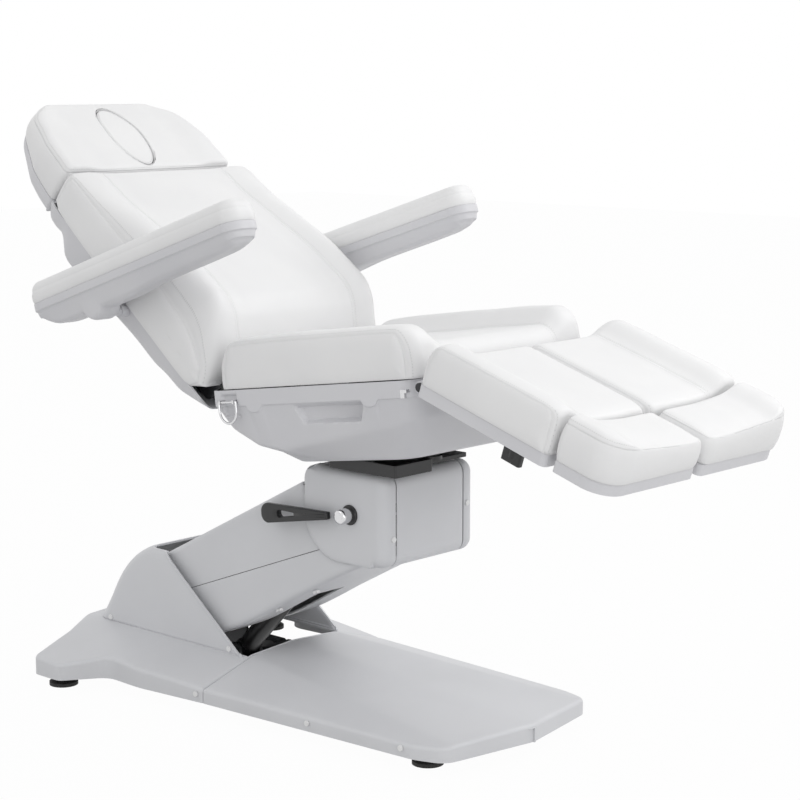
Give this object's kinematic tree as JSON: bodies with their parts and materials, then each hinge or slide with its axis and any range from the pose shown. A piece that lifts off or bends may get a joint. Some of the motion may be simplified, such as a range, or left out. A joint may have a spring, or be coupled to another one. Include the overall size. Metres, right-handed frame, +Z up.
{
  "type": "podiatry chair",
  "caption": "Electric podiatry chair with a lifting swivel column, reclining back, folding armrests, face-hole headrest and two separate leg rests with sliding foot rests.",
  "frame": {"origin": "bottom centre of the bounding box, on the floor", "axes": "+X from the headrest towards the foot rests, +Y towards the patient's left side, +Z up"},
  "size_m": [1.7825, 0.76, 1.2978],
  "materials": {
    "upholstery": "matte white coated fabric",
    "light_plastic": "satin light grey",
    "grey_plastic": "satin grey",
    "black_plastic": "satin black",
    "black_rubber": "matte",
    "white_caps": "smooth",
    "dark_steel": "dark paint",
    "steel_rod": "ground",
    "chrome_metal": "polished"
  },
  "bodies": {
    "base": {"base_frame": "dark_steel", "rear_base_cover": "grey_plastic", "front_base_cover": "grey_plastic", "hump_cover": "grey_plastic", "foot_pads": "black_rubber", "foot_studs": "black_rubber", "cover_screw_caps": "white_caps", "mains_inlet": "black_plastic", "arm_pivot_pins": "chrome_metal"},
    "lift_motor": {"lift_motor": "black_plastic"},
    "lift_rod": {"lift_rod": "steel_rod"},
    "arm": {"arm_frame": "dark_steel", "arm_upper_cover": "grey_plastic", "arm_lower_cover": "grey_plastic", "arm_clips": "white_caps"},
    "level_link": {"level_link": "dark_steel"},
    "head": {"head_frame": "dark_steel", "housing_right_cover": "grey_plastic", "housing_left_cover": "grey_plastic", "housing_front_cover": "grey_plastic", "housing_screw_caps": "white_caps", "turntable_ring": "black_plastic"},
    "brake": {"brake_handle": "black_plastic", "brake_hub": "chrome_metal"},
    "swivel": {"turntable_plate": "black_plastic", "control_box": "black_plastic", "tilt_jack_body": "black_plastic"},
    "tilt_rod": {"tilt_jack_rod": "steel_rod"},
    "seat": {"seat_frame": "dark_steel", "seat_shell": "light_plastic", "seat_cushion": "upholstery", "ring_staples": "chrome_metal", "side_catches": "chrome_metal", "back_motor": "black_plastic"},
    "d_ring_right": {"d_ring_right": "chrome_metal"},
    "d_ring_left": {"d_ring_left": "chrome_metal"},
    "back_rod": {"back_rod": "steel_rod"},
    "back": {"back_frame": "dark_steel", "back_shell": "light_plastic", "back_cushion": "upholstery", "armrest_brackets": "light_plastic"},
    "headrest": {"head_rails": "dark_steel", "head_shell": "light_plastic", "head_cushion": "upholstery"},
    "face_plug": {"face_plug": "upholstery"},
    "armrest_right": {"armrest_right_shell": "light_plastic", "armrest_right_pad": "upholstery"},
    "armrest_left": {"armrest_left_shell": "light_plastic", "armrest_left_pad": "upholstery"},
    "leg_right": {"leg_right_tray": "light_plastic", "leg_right_cushion": "upholstery"},
    "leg_left": {"leg_left_tray": "light_plastic", "leg_left_cushion": "upholstery"},
    "foot_right": {"foot_right_tray": "light_plastic", "foot_right_cushion": "upholstery"},
    "foot_left": {"foot_left_tray": "light_plastic", "foot_left_cushion": "upholstery"},
    "knob_right": {"leg_right_knob": "black_plastic"},
    "knob_left": {"leg_left_knob": "black_plastic"}
  },
  "joints": [
    {"name": "lift", "type": "hinge", "parent": "base", "child": "arm", "pos_m": [-0.49492, 0, 0.183], "axis": [0, -1, 0], "range_deg": [-13, 15]},
    {"name": "head_level", "type": "hinge", "parent": "arm", "child": "head", "pos_m": [0.0905, 0, 0.40188], "axis": [0, -1, 0], "range_deg": [-15.5, 13.5]},
    {"name": "level_link", "type": "hinge", "parent": "base", "child": "level_link", "pos_m": [-0.49492, 0, 0.233], "axis": [0, -1, 0], "range_deg": [-13.5, 15.5]},
    {"name": "lift_motor_swing", "type": "hinge", "parent": "base", "child": "lift_motor", "pos_m": [-0.35692, 0, 0.062], "axis": [0, -1, 0], "range_deg": [-14, 16.1]},
    {"name": "lift_rod_slide", "type": "slide", "parent": "lift_motor", "child": "lift_rod", "axis": [0.6981, 0, 0.716], "range_m": [-0.0433, 0.0497]},
    {"name": "brake_lever", "type": "hinge", "parent": "head", "child": "brake", "pos_m": [0.1105, -0.14, 0.46188], "axis": [0, -1, 0], "range_deg": [0, 32]},
    {"name": "swivel", "type": "hinge", "parent": "head", "child": "swivel", "pos_m": [0.0905, 0, 0.56318], "axis": [0, 0, 1], "range_deg": [-120, 120]},
    {"name": "seat_tilt", "type": "hinge", "parent": "swivel", "child": "seat", "pos_m": [-0.01952, 0, 0.59051], "axis": [0, -1, 0], "range_deg": [-8, 6]},
    {"name": "tilt_rod_slide", "type": "slide", "parent": "swivel", "child": "tilt_rod", "axis": [0, 0, 1], "range_m": [-0.032, 0.0242]},
    {"name": "d_ring_right_swing", "type": "hinge", "parent": "seat", "child": "d_ring_right", "pos_m": [-0.11677, -0.2668, 0.68475], "axis": [-0.99, 0, -0.1409], "range_deg": [0, 80]},
    {"name": "d_ring_left_swing", "type": "hinge", "parent": "seat", "child": "d_ring_left", "pos_m": [-0.11677, 0.2668, 0.68475], "axis": [0.99, 0, 0.1409], "range_deg": [0, 80]},
    {"name": "back_recline", "type": "hinge", "parent": "seat", "child": "back", "pos_m": [-0.19961, 0, 0.73457], "axis": [0, 1, 0], "range_deg": [-39, 25]},
    {"name": "back_rod_slide", "type": "slide", "parent": "seat", "child": "back_rod", "axis": [0.99, 0, 0.1409], "range_m": [-0.08, 0.08]},
    {"name": "headrest_tilt", "type": "hinge", "parent": "back", "child": "headrest", "pos_m": [-0.7027, 0, 1.05459], "axis": [0, 1, 0], "range_deg": [-30, 0]},
    {"name": "face_plug_lift", "type": "slide", "parent": "headrest", "child": "face_plug", "axis": [0.6334, 0, 0.7738], "range_m": [0, 0.12]},
    {"name": "armrest_right_fold", "type": "hinge", "parent": "back", "child": "armrest_right", "pos_m": [-0.4448, -0.318, 0.84867], "axis": [0.0419, -0.9991, 0], "range_deg": [0, 100]},
    {"name": "armrest_left_fold", "type": "hinge", "parent": "back", "child": "armrest_left", "pos_m": [-0.4448, 0.318, 0.84867], "axis": [-0.0419, -0.9991, 0], "range_deg": [0, 100]},
    {"name": "leg_right_angle", "type": "hinge", "parent": "seat", "child": "leg_right", "pos_m": [0.41842, -0.1455, 0.77102], "axis": [0, -1, 0], "range_deg": [-62, 16]},
    {"name": "foot_right_slide", "type": "slide", "parent": "leg_right", "child": "foot_right", "axis": [0.9511, 0, -0.309], "range_m": [0, 0.2]},
    {"name": "knob_right_turn", "type": "hinge", "parent": "leg_right", "child": "knob_right", "pos_m": [0.62437, -0.24, 0.67676], "axis": [0.309, 0, 0.9511], "range_deg": [0, 270]},
    {"name": "leg_left_angle", "type": "hinge", "parent": "seat", "child": "leg_left", "pos_m": [0.41842, 0.1455, 0.77102], "axis": [0, -1, 0], "range_deg": [-62, 16]},
    {"name": "foot_left_slide", "type": "slide", "parent": "leg_left", "child": "foot_left", "axis": [0.9511, 0, -0.309], "range_m": [0, 0.2]},
    {"name": "knob_left_turn", "type": "hinge", "parent": "leg_left", "child": "knob_left", "pos_m": [0.62437, 0.24, 0.67676], "axis": [0.309, 0, 0.9511], "range_deg": [0, 270]}
  ],
  "couplings": [
    {"joint": "head_level", "follows": "lift", "ratio": -1},
    {"joint": "level_link", "follows": "lift", "ratio": 1},
    {"joint": "lift_motor_swing", "follows": "lift", "ratio": 1.0172},
    {"joint": "lift_rod_slide", "follows": "lift", "m_per_rad": 0.18219},
    {"joint": "tilt_rod_slide", "follows": "seat_tilt", "m_per_rad": 0.22198},
    {"joint": "back_rod_slide", "follows": "back_recline", "m_per_rad": -0.08275}
  ]
}
